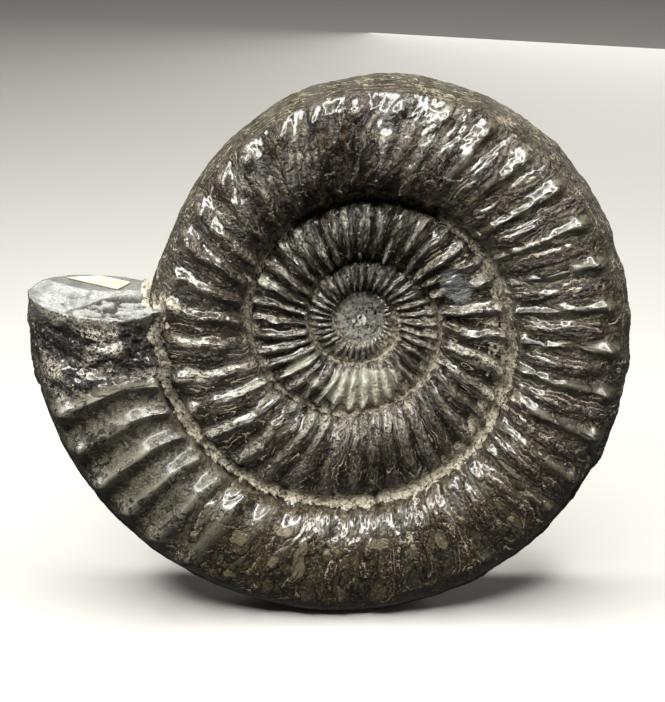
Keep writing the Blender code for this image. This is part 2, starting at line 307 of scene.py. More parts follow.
def painted_light_and_shade(angle, across, phase, foil, bent):
    """Shares of painted light and shade, each a bump over the coil angle times an ease over the place
    across, which a noise makes ragged: painted shade below an overhang and where a turn faces down, a
    painted highlight on the outer flank of the stretch crumpled like foil, and painted light on the
    shoulders that face up and on the crests of the inner turns."""
    flaked = layers(bent * (1.0, 0.3, 1.0), 3.4, 55, 4, 0.6)
    inner_turns = ease(6.0, -12.0, angle)
    below = near(angle % 360.0, BELOW) * inner_turns
    above = near(angle % 360.0, ABOVE) * inner_turns
    shade = foil * ease(0.78, 0.3, across + 0.35 * flaked)
    shade = np.maximum(shade, 0.75 * below * ease(0.55, 0.9, across + 0.3 * flaked))
    shade = np.maximum(shade, above * ease(0.55, 0.2, across + 0.3 * flaked))
    painted_highlight = foil * ease(0.5, 0.75, across) * ease(1.1, 0.98, across) * ease(-0.1, 0.4, flaked)
    painted_light = below * ease(0.6, 0.3, across) * ease(-0.6, 0.0, flaked)
    painted_light = np.maximum(painted_light, above * ease(0.5, 0.75, across) * ease(-0.4, 0.2, flaked))
    lit = inner_turns * (1.0 - near(angle, FAINT)) * ease(0.36, 0.14, phase)
    painted_light = np.maximum(painted_light, lit * ease(-0.4, 0.3, flaked) * 0.9)
    return shade, painted_highlight, painted_light


def relief(angle, across, side, points, middle, half, number, rib):
    """Height in mm of the fine forms on the ribbed turn: swelling and crumpled folds, plus a step for each
    thin layer of shell, less the groove, plus the lumps of the chamber, and faded into the crust along the
    seams. With it come the fields that the colours follow."""
    size = fine_scale(half)
    local = points / size[..., None]
    girth = np.where(side == FRONT, across, 4.0 - across)
    ribwise = np.stack([number * MM_PER_RIB, girth * MM_ACROSS, 0.0 * angle], -1)
    bent = ribwise + 1.6 * np.stack([grain(local, 5.0, seed) for seed in (8, 9, 10)], -1)
    foil = np.maximum(near(angle, FOIL), 0.8 * near(angle, OLD_FOIL))
    bold = ease(*BOLD_FROM, angle)
    phase = np.abs(number - np.round(number))
    crest = ease(0.32, 0.14, phase) * np.clip(1.4 * rib, 0, 1)
    valley = ease(0.12, 0.5, phase)
    length = half * FLANK_LENGTH
    marks = {kind: marked(kind, side, angle, across, middle, length) for kind in ("flake", *NO_MARKS)}
    crumpled = through(CRUMPLED, angle)
    rough = angle - bow(angle, across) + 0.5 * grain(points, 2.0, 29)
    rough = ease(CHAMBER_START, CHAMBER_START + 1.2, rough)
    folds = crumple(bent * (1.0, 0.3, 1.0), 2.4, 11) * (0.75 - 0.2 * foil)
    fine = crumple(local, 1.6, 17) * (1.0 - 0.7 * foil)

    # Layers of shell left on the stone.
    wear = through(LAYERS_LEFT, angle) + 1.9 * layers(bent * (1.0, 0.55, 1.0), 4.6, 21, 4, 0.42)
    wear = wear + through(WORN_CRESTS, angle) * (valley - 0.55)
    wear = np.clip(wear + 2.0 * np.clip(marks["flake"], 0.0, 0.6), -1.0, 3.9)

    # Crust and groove along the seams, and the first turns, worn to a dome.
    covered = angle < END_ANGLE - 360.0
    to_seam = np.minimum(across * length, np.where(covered, (1.0 - across) * length, NO_SEAM))
    seam_angle = np.where(covered & (across > 0.5), angle + 360.0, angle) % 360.0
    wide = through(CRUST_WIDTH, seam_angle) * size ** 0.4
    ragged = layers(points, 1.9, 41, 4, 0.6)
    crust = ease(1.2, 0.5, to_seam / (wide * (0.7 + 0.5 * valley)) - 0.9 * ragged)
    joint = bump(angle - 8.0, 3.5) * bump(across - 1.1, 0.4) * (~covered)
    crust = np.clip(np.maximum(crust, joint * (0.8 + 0.8 * ragged)), 0.0, 1.0)
    heart = ease(4.2, 3.5, from_first_turns(points))
    groove = through(GROOVE_DEPTH, seam_angle) * np.exp(-to_seam / (2.0 * size)) * (1.0 - 0.75 * heart)
    crust = crust * (1.0 - 0.8 * heart * (seam_angle < 359.0))

    # Lumps of the chamber before the broken end.
    rubble = 2.6 * layers(points * (0.75, 1.0, 1.3), 5.0, 31, 4, 0.6)
    rubble = 0.5 * stepped(rubble, 0.5) + 0.35 * crumple(points, 2.4, 37)
    rubble = rubble * (1.0 - 0.8 * ease(360.0, 363.0, angle)) * (1.0 - 0.65 * ease(0.7, 0.95, across))

    height = 0.3 * layers(local, 9.0, 3, 2)
    height = height + crumpled * (0.3 * folds + 0.2 * fine) * (1.0 - 0.8 * crest * bold)
    shoulder = ease(0.8, 1.0, across)
    height = height + (0.2 + 0.17 * bold) * (1.0 - 0.75 * shoulder) * np.maximum(stepped(wear, 0.25), 0.0)
    height = height - 0.45 + 0.32 * shoulder - 0.22 * bold * (1.0 - shoulder) - groove
    sunk = 1.2 - 0.75 * np.maximum(shoulder, ease(360.0, 364.0, angle))
    height = height + rough * (1.15 * rubble - sunk)
    height = height * (1.0 - 0.6 * crust) + crust * (0.12 + 0.4 * layers(points, 1.2, 47, 2))
    rest = 1.0 - near(angle, REST) * ease(1.0, 1.25, across)

    shade, painted_highlight, painted_light = painted_light_and_shade(angle, across, phase, foil, bent)
    # Painted shade in the hollows: in the low folds, beside the seams, and between the ribs of the inner
    # turns and of the crumpled stretch.
    inner = 0.75 * ease(60.0, -60.0, angle) * (1.0 - heart) + 0.5 * foil
    hollow = ease(0.1, -1.0, folds) * crumpled + bump(to_seam, 1.8 * size) + inner * ease(0.2, 0.42, phase)
    fields = {
        "shade": shade * (1.0 - heart), "painted_highlight": painted_highlight, "painted_light": painted_light * (1.0 - heart),
        "wear": wear, "crumpled": crumpled * (1 - rough), "crust": crust, "rough": rough,
        "crest": crest * bold, "satin": ease(296.0, 322.0, angle) * (1 - rough),
        "lip_band": ease(362.2, 363.6, angle), "outer": ease(1.0, 1.2, across) * (1 - rough),
        "foil": foil, "nucleus": heart, "hollow": np.clip(hollow, 0, 1),
        "across_ribs": ribwise[..., 0], "along_ribs": ribwise[..., 1],
        **{kind: marks[kind] for kind in NO_MARKS},
    }
    return height * size * rest, fields


def coil_patch(angles, acrosses, side):
    """Grid of points on the coil, one column for each angle and one row for each place across: the section
    with its ribs, pushed along its own normal by the relief, then filled to a dome in the middle of the coil
    and worn down at its widest and where it stands."""
    angle, across = np.broadcast_arrays(np.asarray(angles)[:, None], np.asarray(acrosses)[None, :])
    radius, offset, middle, half, width = section(angle, across)
    number = rib_number(angle, across)
    worn = ease(130.0, 60.0, angle)
    smooth_point = place(angle, radius, side * offset) / fine_scale(half)[..., None]
    number = number + (0.14 + 0.08 * ease(20.0, -20.0, angle)) * worn * grain(smooth_point, 6.0, 51)
    rib = rib_height(angle, across) * rib_wave(angle, number, across, side)
    rib = rib * (1.0 + 0.6 * worn * grain(smooth_point, 4.5, 53))
    rib = rib * (1.0 - ease(-0.1, 0.25, marked("grey", side, angle, across, middle, half * FLANK_LENGTH)))
    height = RIB_HEIGHT_PER_RADIUS * middle * rib
    widening = RIB_WIDENING * (1.0 - 0.65 * ease(0.72, 0.95, across))
    radius = radius + (radius - middle) * height / half * widening
    points = place(angle, radius, side * offset * (1.0 + height / width))
    normal = np.cross(np.gradient(points, axis=0), np.gradient(points, axis=1))
    normal /= np.maximum(np.linalg.norm(normal, axis=-1, keepdims=True), 1e-9)
    normal *= np.sign(np.sum(normal * (points - place(angle, middle, 0.0))))
    raised, fields = relief(angle, across, side, points, middle, half, number, rib)
    points = points + normal * raised[..., None]
    dome = through(DOME, from_first_turns(points)) + 0.35 * layers(points * (1.0, 0.0, 1.0), 1.1, 57, 3)
    points[..., 1] += (side * dome - points[..., 1]) * fields["nucleus"] * 0.9
    points[..., 1] -= 0.5 * np.maximum(np.abs(points[..., 1]) - WORN_LEVEL, 0.0) * side
    points[..., 2] = np.maximum(points[..., 2], REST_LEVEL)
    return points, fields


# Fields stored on the mesh for the material.
FIELDS = (
    "wear", "crumpled", "crust", "rough", "crest", "satin", "lip_band", "outer", "foil", "nucleus", "hollow",
    "shade", "painted_highlight", "painted_light", "across_ribs", "along_ribs", "tan", "grey", "olive", "break", "pale_stone_and_light", "painted_step_and_pit_shade",
)
# Stretches of the coil up to its last turn: start and end angle, columns, rows on each side.
STRETCHES = (
    (-1440.0, -1080.0, 90, {FRONT: 5, BACK: 4}), (-1080.0, -720.0, 170, {FRONT: 8, BACK: 5}),
    (-720.0, -360.0, 290, {FRONT: 14, BACK: 8}), (-360.0, 5.5, 500, {FRONT: 27, BACK: 13}),
)
# Columns and rows of the last turn, on the front up to the mid-plane and on the back up to near it.
LAST_COLUMNS = {FRONT: 846, BACK: 430}
LAST_FLANK_ROWS = {FRONT: 46, BACK: 25}
LAST_OUTER_ROWS = {FRONT: 12, BACK: 8}
LAST_ACROSS = {FRONT: 2.0, BACK: 1.93}
# Where the last row of a flank lies, just short of its outer edge.
FLANK_EDGE = 0.97
HEART_RINGS = 4

coil_points, coil_fields, coil_faces = [], [], []


def add_points(points, fields):
    """Adds a grid of points, and gives back the grid of their numbers."""
    start = sum(len(part) for part in coil_points)
    coil_points.append(points.reshape(-1, 3))
    parts = [np.broadcast_to(fields.get(name, 0.0), points.shape[:-1]).ravel() for name in FIELDS]
    coil_fields.append(np.stack(parts, -1))
    return start + np.arange(points[..., 0].size).reshape(points.shape[:-1])


def add_quads(numbers):
    """Quads between neighbours of a grid of point numbers, each cut in two triangles."""
    a, b, c, d = numbers[:-1, :-1], numbers[1:, :-1], numbers[1:, 1:], numbers[:-1, 1:]
    coil_faces.append(np.stack([a, b, c], -1).reshape(-1, 3))
    coil_faces.append(np.stack([a, c, d], -1).reshape(-1, 3))


def zip_lines(first, first_key, second, second_key):
    """Triangles between two lines of points: each step of one line has its tip at the point of the other
    that its middle has come to, by key."""
    middle_1 = (first_key[:-1] + first_key[1:]) / 2
    middle_2 = (second_key[:-1] + second_key[1:]) / 2
    tip_2 = second[np.searchsorted(middle_2, middle_1, "left")]
    tip_1 = first[np.searchsorted(middle_1, middle_2, "right")]
    coil_faces.append(np.stack([first[:-1], first[1:], tip_2], -1))
    coil_faces.append(np.stack([second[1:], second[:-1], tip_1], -1))


def add_cap(ring, inner_points, fields):
    """Closes a ring of points with rings inside it, of as many points each, and a point in the middle."""
    numbers = add_points(inner_points, fields)
    grid = np.concatenate([ring[:, None], numbers[:, :-1]], 1)
    add_quads(np.concatenate([grid, grid[:1]], 0))
    middle = np.full(len(ring), numbers[0, -1])
    coil_faces.append(np.stack([grid[:, -1], np.roll(grid[:, -1], -1), middle], -1))


last, last_angles = {}, {}
for side in (FRONT, BACK):
    flank = np.linspace(0.0, FLANK_EDGE, LAST_FLANK_ROWS[side])
    outer = np.linspace(1.0, LAST_ACROSS[side], LAST_OUTER_ROWS[side])
    last_angles[side] = np.linspace(END_ANGLE - 360.0, END_ANGLE, LAST_COLUMNS[side])
    points, fields = coil_patch(last_angles[side], np.concatenate([flank, outer]), side)
    last[side] = add_points(points, fields)
    last[side][0, len(flank)] = last[side][-1, 0]
    add_quads(last[side])

    edges, seams, keys, before = [], [], [], None
    for start, end, columns, rows in STRETCHES:
        across = np.linspace(0.0, FLANK_EDGE, rows[side])
        angles = start + (end - start) / columns * np.arange(columns)
        numbers = add_points(*coil_patch(angles, across, side))
        add_quads(numbers)
        if before is not None:
            zip_lines(*before, numbers[0], across)
        before = (numbers[-1], across)
        edges.append(numbers[:, -1])
        seams.append(numbers[:, 0])
        keys.append(angles)
    zip_lines(*before, last[side][0, :len(flank)], flank)
    edges.append(last[side][:1, len(flank) - 1])
    seams.append(last[side][:, 0])
    edge_keys = np.concatenate(keys + [last_angles[side][:1]])
    seam_keys = np.concatenate(keys + [last_angles[side]])
    edge_line, seam_line = np.concatenate(edges), np.concatenate(seams)
    _, _, turn, rows = STRETCHES[0]
    zip_lines(edge_line, edge_keys, seam_line[turn:], seam_keys[turn:] - 360.0)

    first_column = seam_line[0] + np.arange(1, rows[side])
    ring = np.concatenate([seam_line[:turn + 1], first_column[::-1]])
    around = np.concatenate(coil_points)[ring]
    heart = around.mean(axis=0) + (0.0, side * 0.1, 0.0)
    steps = np.linspace(1.0, 0.0, HEART_RINGS + 1)[1:, None]
    heart_fields = {"wear": -1.0, "crumpled": 0.4, "nucleus": 1.0, **NO_MARKS}
    add_cap(ring, around[:, None] * steps + heart * (1.0 - steps), heart_fields)

zip_lines(last[FRONT][:, -1], last_angles[FRONT], last[BACK][:, -1], last_angles[BACK])


# The broken end: across the plane, radius from the coil axis and y, in mm. The ridge parts the smooth back
# from the pale front, the split parts the front in two facets, and the step is the edge of a deeper facet.
RIDGE = ((34.0, 4.2), (36.5, 3.8), (44.0, 1.6), (50.0, 4.0), (54.0, 7.0))
STEP_EDGE = ((34.0, 1.0), (39.0, 0.0), (42.3, -1.6), (44.5, -6.3), (47.0, -10.5), (49.0, -16.0))
SPLIT = ((44.0, 1.6), (46.5, -3.0), (49.5, -8.0), (51.0, -14.0))
# The fine rays on the facets come from here.
RAYS_FROM = (45.0, -13.0)
BREAK_MIDDLE = (43.0, 0.0)
BREAK_RINGS = 36
TURN_OF_END = math.radians(END_ANGLE)


def broken_height(radius, y):
    """Height of the broken end over its plane, in mm, with its fields: a smooth strip behind the ridge, two
    shell-shaped facets with fine rays in front of it and the lower, lumpy facet beyond the step."""
    where = np.stack([radius, y, 0.0 * y], -1)
    behind = y - through(RIDGE, radius)
    smooth = ease(-0.3, 0.5, behind)
    out, over = radius - RAYS_FROM[0], y - RAYS_FROM[1]
    rays = np.stack([np.arctan2(over, out) * 9.0, np.hypot(over, out) * 0.25, 0.0 * y], -1)
    rays = layers(rays, 1.0, 71, 3, 0.6)
    split = radius - through([(y_at, at) for at, y_at in SPLIT[::-1]], y)
    beyond = ease(-0.4, 0.4, split)
    hollow = 0.35 * bump(behind, 0.8) - 0.8 * bump(y + 4.5, 4.5) * ease(55.0, 46.0, radius) * beyond
    hollow = hollow - 0.6 * bump(split + 2.5, 2.0) * (1.0 - beyond) - 0.35 * beyond
    edge = y - through(STEP_EDGE, radius) + 0.7 * layers(where, 2.5, 61, 3)
    lower = ease(0.4, -0.3, edge) * (1.0 - smooth)
    lumps = 0.65 * layers(where, 2.6, 65, 4, 0.6) + 0.35 * crumple(where, 1.9, 67) - 0.16
    height = 0.35 + (1 - smooth) * (1 - lower) * (hollow + 0.16 * rays)
    height = height + 0.03 * smooth * layers(where, 2.0, 75, 2) - lower * (0.9 - lumps)
    chunk = ease(36.4, 34.4, radius + 1.6 * layers(where, 2.4, 81, 3)) * ease(-5.0, -1.0, y)
    height = height + chunk * (0.9 + 1.2 * layers(where, 2.2, 85, 4, 0.6))
    # Painted shadow along the step's edge, and painted shade in the low spots of the lumps.
    painted_step_and_pit_shade = np.maximum(bump(edge + 0.2, 0.7) * (1.0 - smooth), lower * ease(0.02, -0.12, lumps))
    # Pale fresh stone with fine rays, partly painted light: the facets are painted paler than the smooth
    # strip, and the tops of the lumps paler than the rest.
    pale_stone_and_light = (1.0 - smooth) * (1.0 - lower) * (0.9 + 1.5 * rays) + 0.3 * bump(behind, 0.5)
    pale_stone_and_light = pale_stone_and_light + 0.8 * lower * ease(0.0, 0.2, lumps)
    pale_stone_and_light = np.clip(pale_stone_and_light - 0.6 * bump(split, 0.5), 0, 1)
    return height, {
        "break": 1.0 - 0.3 * smooth, "crust": chunk, "wear": -1.0, "painted_step_and_pit_shade": painted_step_and_pit_shade * (1.0 - chunk),
        "pale_stone_and_light": pale_stone_and_light * (1.0 - chunk), **NO_MARKS,
    }


ring = np.concatenate([
    last[FRONT][-1, :], last[BACK][-1, ::-1],
    last[BACK][0, LAST_FLANK_ROWS[BACK] + 1:], last[FRONT][0, :LAST_FLANK_ROWS[FRONT]:-1],
])
around = np.concatenate(coil_points)[ring]
outward = np.array([-math.cos(TURN_OF_END), 0.0, math.sin(TURN_OF_END)])
normal_of_end = np.array([math.sin(TURN_OF_END), 0.0, math.cos(TURN_OF_END)])
sideways = np.array([0.0, 1.0, 0.0])
rim = np.stack([around @ outward, around[:, 1]], -1)
steps = np.concatenate([[0.985, 0.965], np.linspace(0.93, 0.0, BREAK_RINGS)])[None, :, None]
flat = rim[:, None, :] * steps + np.array(BREAK_MIDDLE) * (1.0 - steps)
height, fields = broken_height(flat[..., 0], flat[..., 1])
inside = ease(1.0, 0.9, steps[..., 0])
height = height * inside + (around @ normal_of_end)[:, None] * (1.0 - inside)
cap = flat[..., :1] * outward + flat[..., 1:] * sideways + normal_of_end * height[..., None]
add_cap(ring, cap, fields)

all_points = (np.concatenate(coil_points) + COIL_AXIS) * MM
all_faces = np.concatenate(coil_faces)
corners = np.sort(all_faces, axis=1)
all_faces = all_faces[(corners[:, 0] != corners[:, 1]) & (corners[:, 1] != corners[:, 2])]

coil_mesh = bpy.data.meshes.new("ribbed_coil")
coil_mesh.from_pydata(all_points.tolist(), [], all_faces.tolist())
for name, values in zip(FIELDS, np.concatenate(coil_fields).T):
    coil_mesh.attributes.new(name, "FLOAT", "POINT").data.foreach_set("value", values.astype(np.float32))
shape = bmesh.new()
shape.from_mesh(coil_mesh)
loose = [point for point in shape.verts if not point.link_faces]
bmesh.ops.delete(shape, geom=loose, context="VERTS")
bmesh.ops.recalc_face_normals(shape, faces=shape.faces)
shape.to_mesh(coil_mesh)
shape.free()
coil_mesh.shade_smooth()
ribbed_coil = bpy.data.objects.new("ribbed_coil", coil_mesh)
bpy.context.scene.collection.objects.link(ribbed_coil)


def linear(hex_colour):
    """Linear colour from an sRGB hex value: c / 12.92 up to 0.04045, else ((c + 0.055) / 1.055) ^ 2.4."""
    shares = [int(hex_colour[i:i + 2], 16) / 255 for i in (1, 3, 5)]
    return [c / 12.92 if c <= 0.04045 else ((c + 0.055) / 1.055) ** 2.4 for c in shares] + [1.0]


def add_node(kind, *values, output=0, links=None, **settings):
    """Adds a shader node with its settings to the tree in hand, and gives back one of its outputs. Inputs,
    in their order or by name or number in links, each get either a value or the output linked to them."""
    made = tree.nodes.new("ShaderNode" + kind)
    for name, value in settings.items():
        setattr(made, name, value)
    for name, value in [*enumerate(values), *(links or {}).items()]:
        if isinstance(value, bpy.types.NodeSocket):
            tree.links.new(value, made.inputs[name])
        else:
            made.inputs[name].default_value = value
    return made.outputs[output] if len(made.outputs) else None


def product(*factors):
    """All factors multiplied. Each is a number, an output, or (output, low, high) for its soft step, which
    is 0 at low and 1 at high. Two more numbers are what the step is at low and at high instead."""
    result = None
    for factor in factors:
        if isinstance(factor, tuple):
            factor = add_node("MapRange", *factor, interpolation_type="SMOOTHSTEP")
        result = factor if result is None else add_node("Math", result, factor, operation="MULTIPLY")
    return result


def sharp(source):
    """Sharp folds from a noise: one minus five times its distance from one half, so 1 on top of a fold."""
    away = add_node("Math", source, 0.5, operation="SUBTRACT")
    away = add_node("Math", away, operation="ABSOLUTE")
    return add_node("Math", away, -5.0, 1.0, operation="MULTIPLY_ADD")


def torn(source, **shares):
    """A field with a ragged edge: plus each noise less one half, times its share."""
    for name, share in shares.items():
        away = add_node("Math", noise[name], 0.5, operation="SUBTRACT")
        source = add_node("Math", away, share, source, operation="MULTIPLY_ADD")
    return source


# Fossil shell and limestone, freed with needle and brush: brown flaky shell over smooth olive-grey stone.
# The crests are polished and glossy, the hollows dull, the seams dusty and the broken end pale and matt.
stone = bpy.data.materials.new("calcite_shell_on_limestone")
stone.use_nodes = True
tree = stone.node_tree
tree.nodes.clear()
spot = add_node("TexCoord", output="Object")
field = {name: add_node("Attribute", output="Fac", attribute_name=name) for name in FIELDS}
unrolled = add_node("CombineXYZ", field["across_ribs"], field["along_ribs"])
ribs = add_node("VectorMath", unrolled, (1.0, 0.4, 1.0), operation="MULTIPLY")
girdle = add_node("VectorMath", unrolled, (0.5, 1.0, 1.0), operation="MULTIPLY")
# Name: coordinates, size in their unit (metres, or mm on the ribs), detail, roughness.
NOISES = {
    "cloud": (spot, 9.0 * MM, 2.0, 0.5), "blotch": (spot, 3.0 * MM, 4.0, 0.62),
    "ragged": (spot, 1.3 * MM, 4.0, 0.6), "wrinkle": (spot, 0.9 * MM, 3.0, 0.6),
    "speck": (spot, 0.5 * MM, 3.0, 0.6), "grit": (spot, 0.2 * MM, 2.0, 0.6),
    "fold": (ribs, 1.3, 3.0, 0.55), "line": (girdle, 2.6, 3.0, 0.5),
}
noise = {
    name: add_node("TexNoise", output="Fac", links={
        "Vector": where, "Scale": 1.0 / size, "Detail": detail, "Roughness": uneven,
    }) for name, (where, size, detail, uneven) in NOISES.items()
}
folds, lines, wrinkles = sharp(noise["fold"]), sharp(noise["line"]), sharp(noise["wrinkle"])

# Facets of crumpled shell: cells about 3 mm across the ribs and 8 mm along them, bent by a noise.
FACET_SIZE = 3.4
PUSH = (2.2, 2.2, 2.2)
push = {"Vector": spot, "Scale": 1.0 / (3.0 * MM), "Detail": 2.0}
pushed = add_node("TexNoise", output="Color", links=push)
pushed = add_node("VectorMath", pushed, PUSH, ribs, operation="MULTIPLY_ADD")
cells = {"Vector": pushed, "Scale": 1.0 / FACET_SIZE, "Randomness": 1.0}
creases = add_node("TexVoronoi", output="Distance", links=cells, feature="DISTANCE_TO_EDGE")
creases = add_node("Math", creases, 0.35, operation="MINIMUM")
# Each facet has a tilt of its own: its random direction times the way from its middle.
facet = add_node("TexVoronoi", output="Color", links=cells)
way = add_node("VectorMath", pushed, facet.node.outputs["Position"], operation="SUBTRACT")
lean = add_node("VectorMath", facet, (0.5, 0.5, 0.5), operation="SUBTRACT")
tilt = add_node("VectorMath", way, lean, output="Value", operation="DOT_PRODUCT")
not_satin = add_node("Math", 1.0, field["satin"], operation="SUBTRACT")
seams = product((creases, 0.07, 0.01), (noise["cloud"], 0.4, 0.55), not_satin)
# Thin cracks: the lines where a noise passes its middle value, in some places only.
crack = add_node("TexNoise", output="Fac", links={"Vector": pushed, "Scale": 0.2, "Detail": 3.0})
crack = add_node("Math", add_node("Math", crack, 0.5, operation="SUBTRACT"), operation="ABSOLUTE")
crack = product((crack, 0.008, 0.002), (noise["cloud"], 0.45, 0.55))
# The layers of shell get their crisp, torn edges here, finer than the mesh.
wear = torn(field["wear"], ragged=1.1, speck=0.4)
layer = add_node("Math", wear, operation="FLOOR")
above = add_node("Math", wear, layer, operation="SUBTRACT")
first, second, third = [
    add_node("Math", layer, level, operation="GREATER_THAN") for level in (0.5, 1.5, 2.5)
]
less_foil = add_node("Math", field["foil"], -0.75, 1.0, operation="MULTIPLY_ADD")
# Pale top edge of each torn layer, partly a painted glint, and a painted shadow just below the edge of the
# next layer.
pale_lip_and_glint = product((above, 0.22, 0.08), (layer, -0.5, 0.5), (noise["blotch"], 0.45, 0.56), less_foil)
painted_ledge_shadow = product((above, 0.68, 0.92), (noise["blotch"], 0.66, 0.46))
hidden = add_node("Math", field["rough"], field["crust"], operation="MAXIMUM")
whole = product(*[add_node("Math", 1.0, share, operation="SUBTRACT") for share in (hidden, field["break"])])

smooth = add_node("Math", 1.0, field["crest"], operation="SUBTRACT")
pale_specks = add_node("Math", smooth, 0.5, 0.2, operation="MULTIPLY_ADD")
dark_specks = add_node("Math", smooth, 0.55, 0.25, operation="MULTIPLY_ADD")
dark_foil = add_node("Math", field["foil"], field["painted_highlight"], operation="SUBTRACT")
foil_seams = add_node("Math", field["foil"], 0.6, 0.4, operation="MULTIPLY_ADD")
chalk_seams = add_node("Math", seams, product((wrinkles, 0.86, 1.0)), operation="MAXIMUM")
tan, olive, grey = [torn(field[kind], blotch=2.2, ragged=0.8) for kind in ("tan", "olive", "grey")]
crumbs = product((torn(field["crust"], ragged=2.2), 0.3, 0.5))
# One coat over the other: colour, and what its share is the product of.
COATS = (
    ("#4f4329", (noise["cloud"], 0.36, 0.6)),
    ("#1e160a", (noise["blotch"], 0.48, 0.62)),
    ("#454131", field["crest"]),
    ("#625f50", field["satin"], (noise["blotch"], 0.68, 0.42)),
    ("#868374", field["satin"], field["crest"], 0.7),
    ("#382612", first, (field["crest"], 0.2, 0.8, 0.85, 0.25)),
    ("#22160a", second, 0.85),
    ("#57492f", third, 0.8),
    ("#6e6149", first, (noise["blotch"], 0.4, 0.3)),
    ("#3b2312", field["foil"], 0.65, (noise["cloud"], 0.46, 0.34)),
    # Painted highlight on the outer flank of the stretch crumpled like foil, brightest on the folds.
    ("#7f7b6f", field["painted_highlight"], 0.75),
    ("#b5b0a2", field["painted_highlight"], (folds, 0.65, 1.1)),
    ("#8a8169", (noise["speck"], 0.57, 0.64), pale_specks),
    ("#9d9682", (noise["grit"], 0.56, 0.7, 0.0, 0.4)),
    ("#0f0b06", (noise["grit"], 0.44, 0.3, 0.0, 0.5)),
    ("#120d07", (noise["speck"], 0.44, 0.35), dark_specks),
    # Painted light on the shoulders that face up and on the crests of the inner turns, brightest on the
    # wrinkles.
    ("#746e5e", field["painted_light"], 0.75),
    ("#dcd7c8", field["painted_light"], (wrinkles, 0.4, 0.85)),
    ("#1b140a", dark_foil, (noise["blotch"], 0.42, 0.52, 0.0, 0.75)),
    # Painted shade: in the hollows, below the overhangs and where a turn faces down.
    ("#0d0a06", field["hollow"], 0.8),
    ("#0e0904", field["shade"], (noise["ragged"], 0.62, 0.46, 0.45, 0.9)),
    ("#0b0805", seams, foil_seams),
    # Painted shadow below the ledges of the shell layers.
    ("#0b0704", painted_ledge_shadow, 0.9),
    ("#332e20", field["outer"], 0.75),
    ("#1d180f", field["outer"], (noise["blotch"], 0.46, 0.6, 0.0, 0.75)),
    ("#958c6f", field["outer"], (lines, 0.84, 0.98), (noise["blotch"], 0.4, 0.5, 0.0, 0.7)),
    # Pale torn edges of the shell layers, partly a painted glint.
    ("#c0b59e", pale_lip_and_glint, 0.85),
    ("#080603", crack),
    ("#b5b3a8", field["nucleus"], (noise["speck"], 0.36, 0.54)),
    ("#dddbd0", field["nucleus"], (noise["ragged"], 0.52, 0.62, 0.0, 0.7)),
    ("#1b1914", field["nucleus"], (noise["blotch"], 0.46, 0.38)),
    ("#2f281b", (tan, -0.16, 0.0)),
    ("#7c7059", (tan, 0.08, 0.16), 0.8),
    ("#cfccb4", (olive, -0.2, 0.4), 0.88),
    # Painted light, then painted shade in the hollows, on the olive patch.
    ("#f4f1e0", (olive, -0.2, 0.4), field["painted_light"]),
    ("#0d0a06", (olive, -0.2, 0.4), field["hollow"], 0.6),
    ("#67696b", (grey, -0.1, 0.1), 0.9),
    ("#171108", field["rough"], (noise["blotch"], 0.28, 0.48)),
    ("#070402", field["rough"], (noise["ragged"], 0.54, 0.4)),
    ("#b9b1a0", field["rough"], (wrinkles, 0.62, 0.9), (noise["cloud"], 0.44, 0.56)),
    ("#bdb6a5", field["rough"], (noise["speck"], 0.58, 0.66, 0.0, 0.5)),
    ("#55534b", field["lip_band"], field["rough"], 0.6),
    ("#6f716e", field["break"]),
    ("#4a4c49", field["break"], (noise["blotch"], 0.5, 0.66)),
    # Pale fresh stone, partly painted light on the facets and on the tops of the lumps.
    ("#a9aba8", field["pale_stone_and_light"], 0.85),
    ("#3d3c38", field["pale_stone_and_light"], chalk_seams),
    # Painted shadow along the step's edge and painted shade in the low spots of the lumps.
    ("#1f1b15", field["painted_step_and_pit_shade"], 0.95),
    ("#978e7b", crumbs),
    ("#c8c1af", crumbs, (noise["speck"], 0.56, 0.44)),
    ("#3f382b", crumbs, (noise["speck"], 0.57, 0.67)),
)
# The Mix node's inputs and output for colours, by number because their names are there more than once.
SHARE, UNDER, OVER, MIXED = 0, 6, 7, 2
colour = linear("#352919")
for coat, *factors in COATS:
    mix = {SHARE: product(*factors), UNDER: colour, OVER: linear(coat)}
    colour = add_node("Mix", output=MIXED, links=mix, data_type="RGBA")

# How dull each surface is, from polished to dusty, as a product. Where several meet, the dullest counts.
DULL = (
    (field["rough"], 0.2), (field["crest"], (noise["cloud"], 0.6, 0.42, 0.0, 0.45)), (field["outer"], 0.8),
    (field["satin"], 0.45), (field["nucleus"], 0.75), (field["foil"], 0.28), (field["painted_highlight"], 0.38),
    (field["shade"], 0.6), (field["painted_light"], 0.5), (field["hollow"], 0.5), ((noise["blotch"], 0.4, 0.6), 0.3),
)
dusty = add_node("Math", crumbs, field["break"], operation="MAXIMUM")
dull = dusty
for factors in DULL:
    dull = add_node("Math", dull, product(*factors), operation="MAXIMUM")

# Heights in mm on whole shell: torn edges, facets, cracks, seams, folds and wrinkles, each as a product.
ledges = add_node("Math", layer, product((above, 0.0, 0.12)), operation="ADD")
ledges = add_node("Math", ledges, 0.0, operation="MAXIMUM")
foil_creases = add_node("Math", field["foil"], 0.4, 0.14, operation="MULTIPLY_ADD")
foil_tilts = add_node("Math", field["foil"], 0.95, 0.2, operation="MULTIPLY_ADD")
foil_folds = add_node("Math", field["foil"], -0.45, 1.0, operation="MULTIPLY_ADD")
folded = product(field["crumpled"], smooth, foil_folds)
FORMS = (
    (creases, foil_creases), (tilt, foil_tilts), (crack, -0.15), (seams, -0.12), (folds, 0.2, folded),
    (wrinkles, 0.24, folded),
)
height = product(ledges, 0.2)
for factors in FORMS:
    height = add_node("Math", height, product(*factors), operation="ADD")
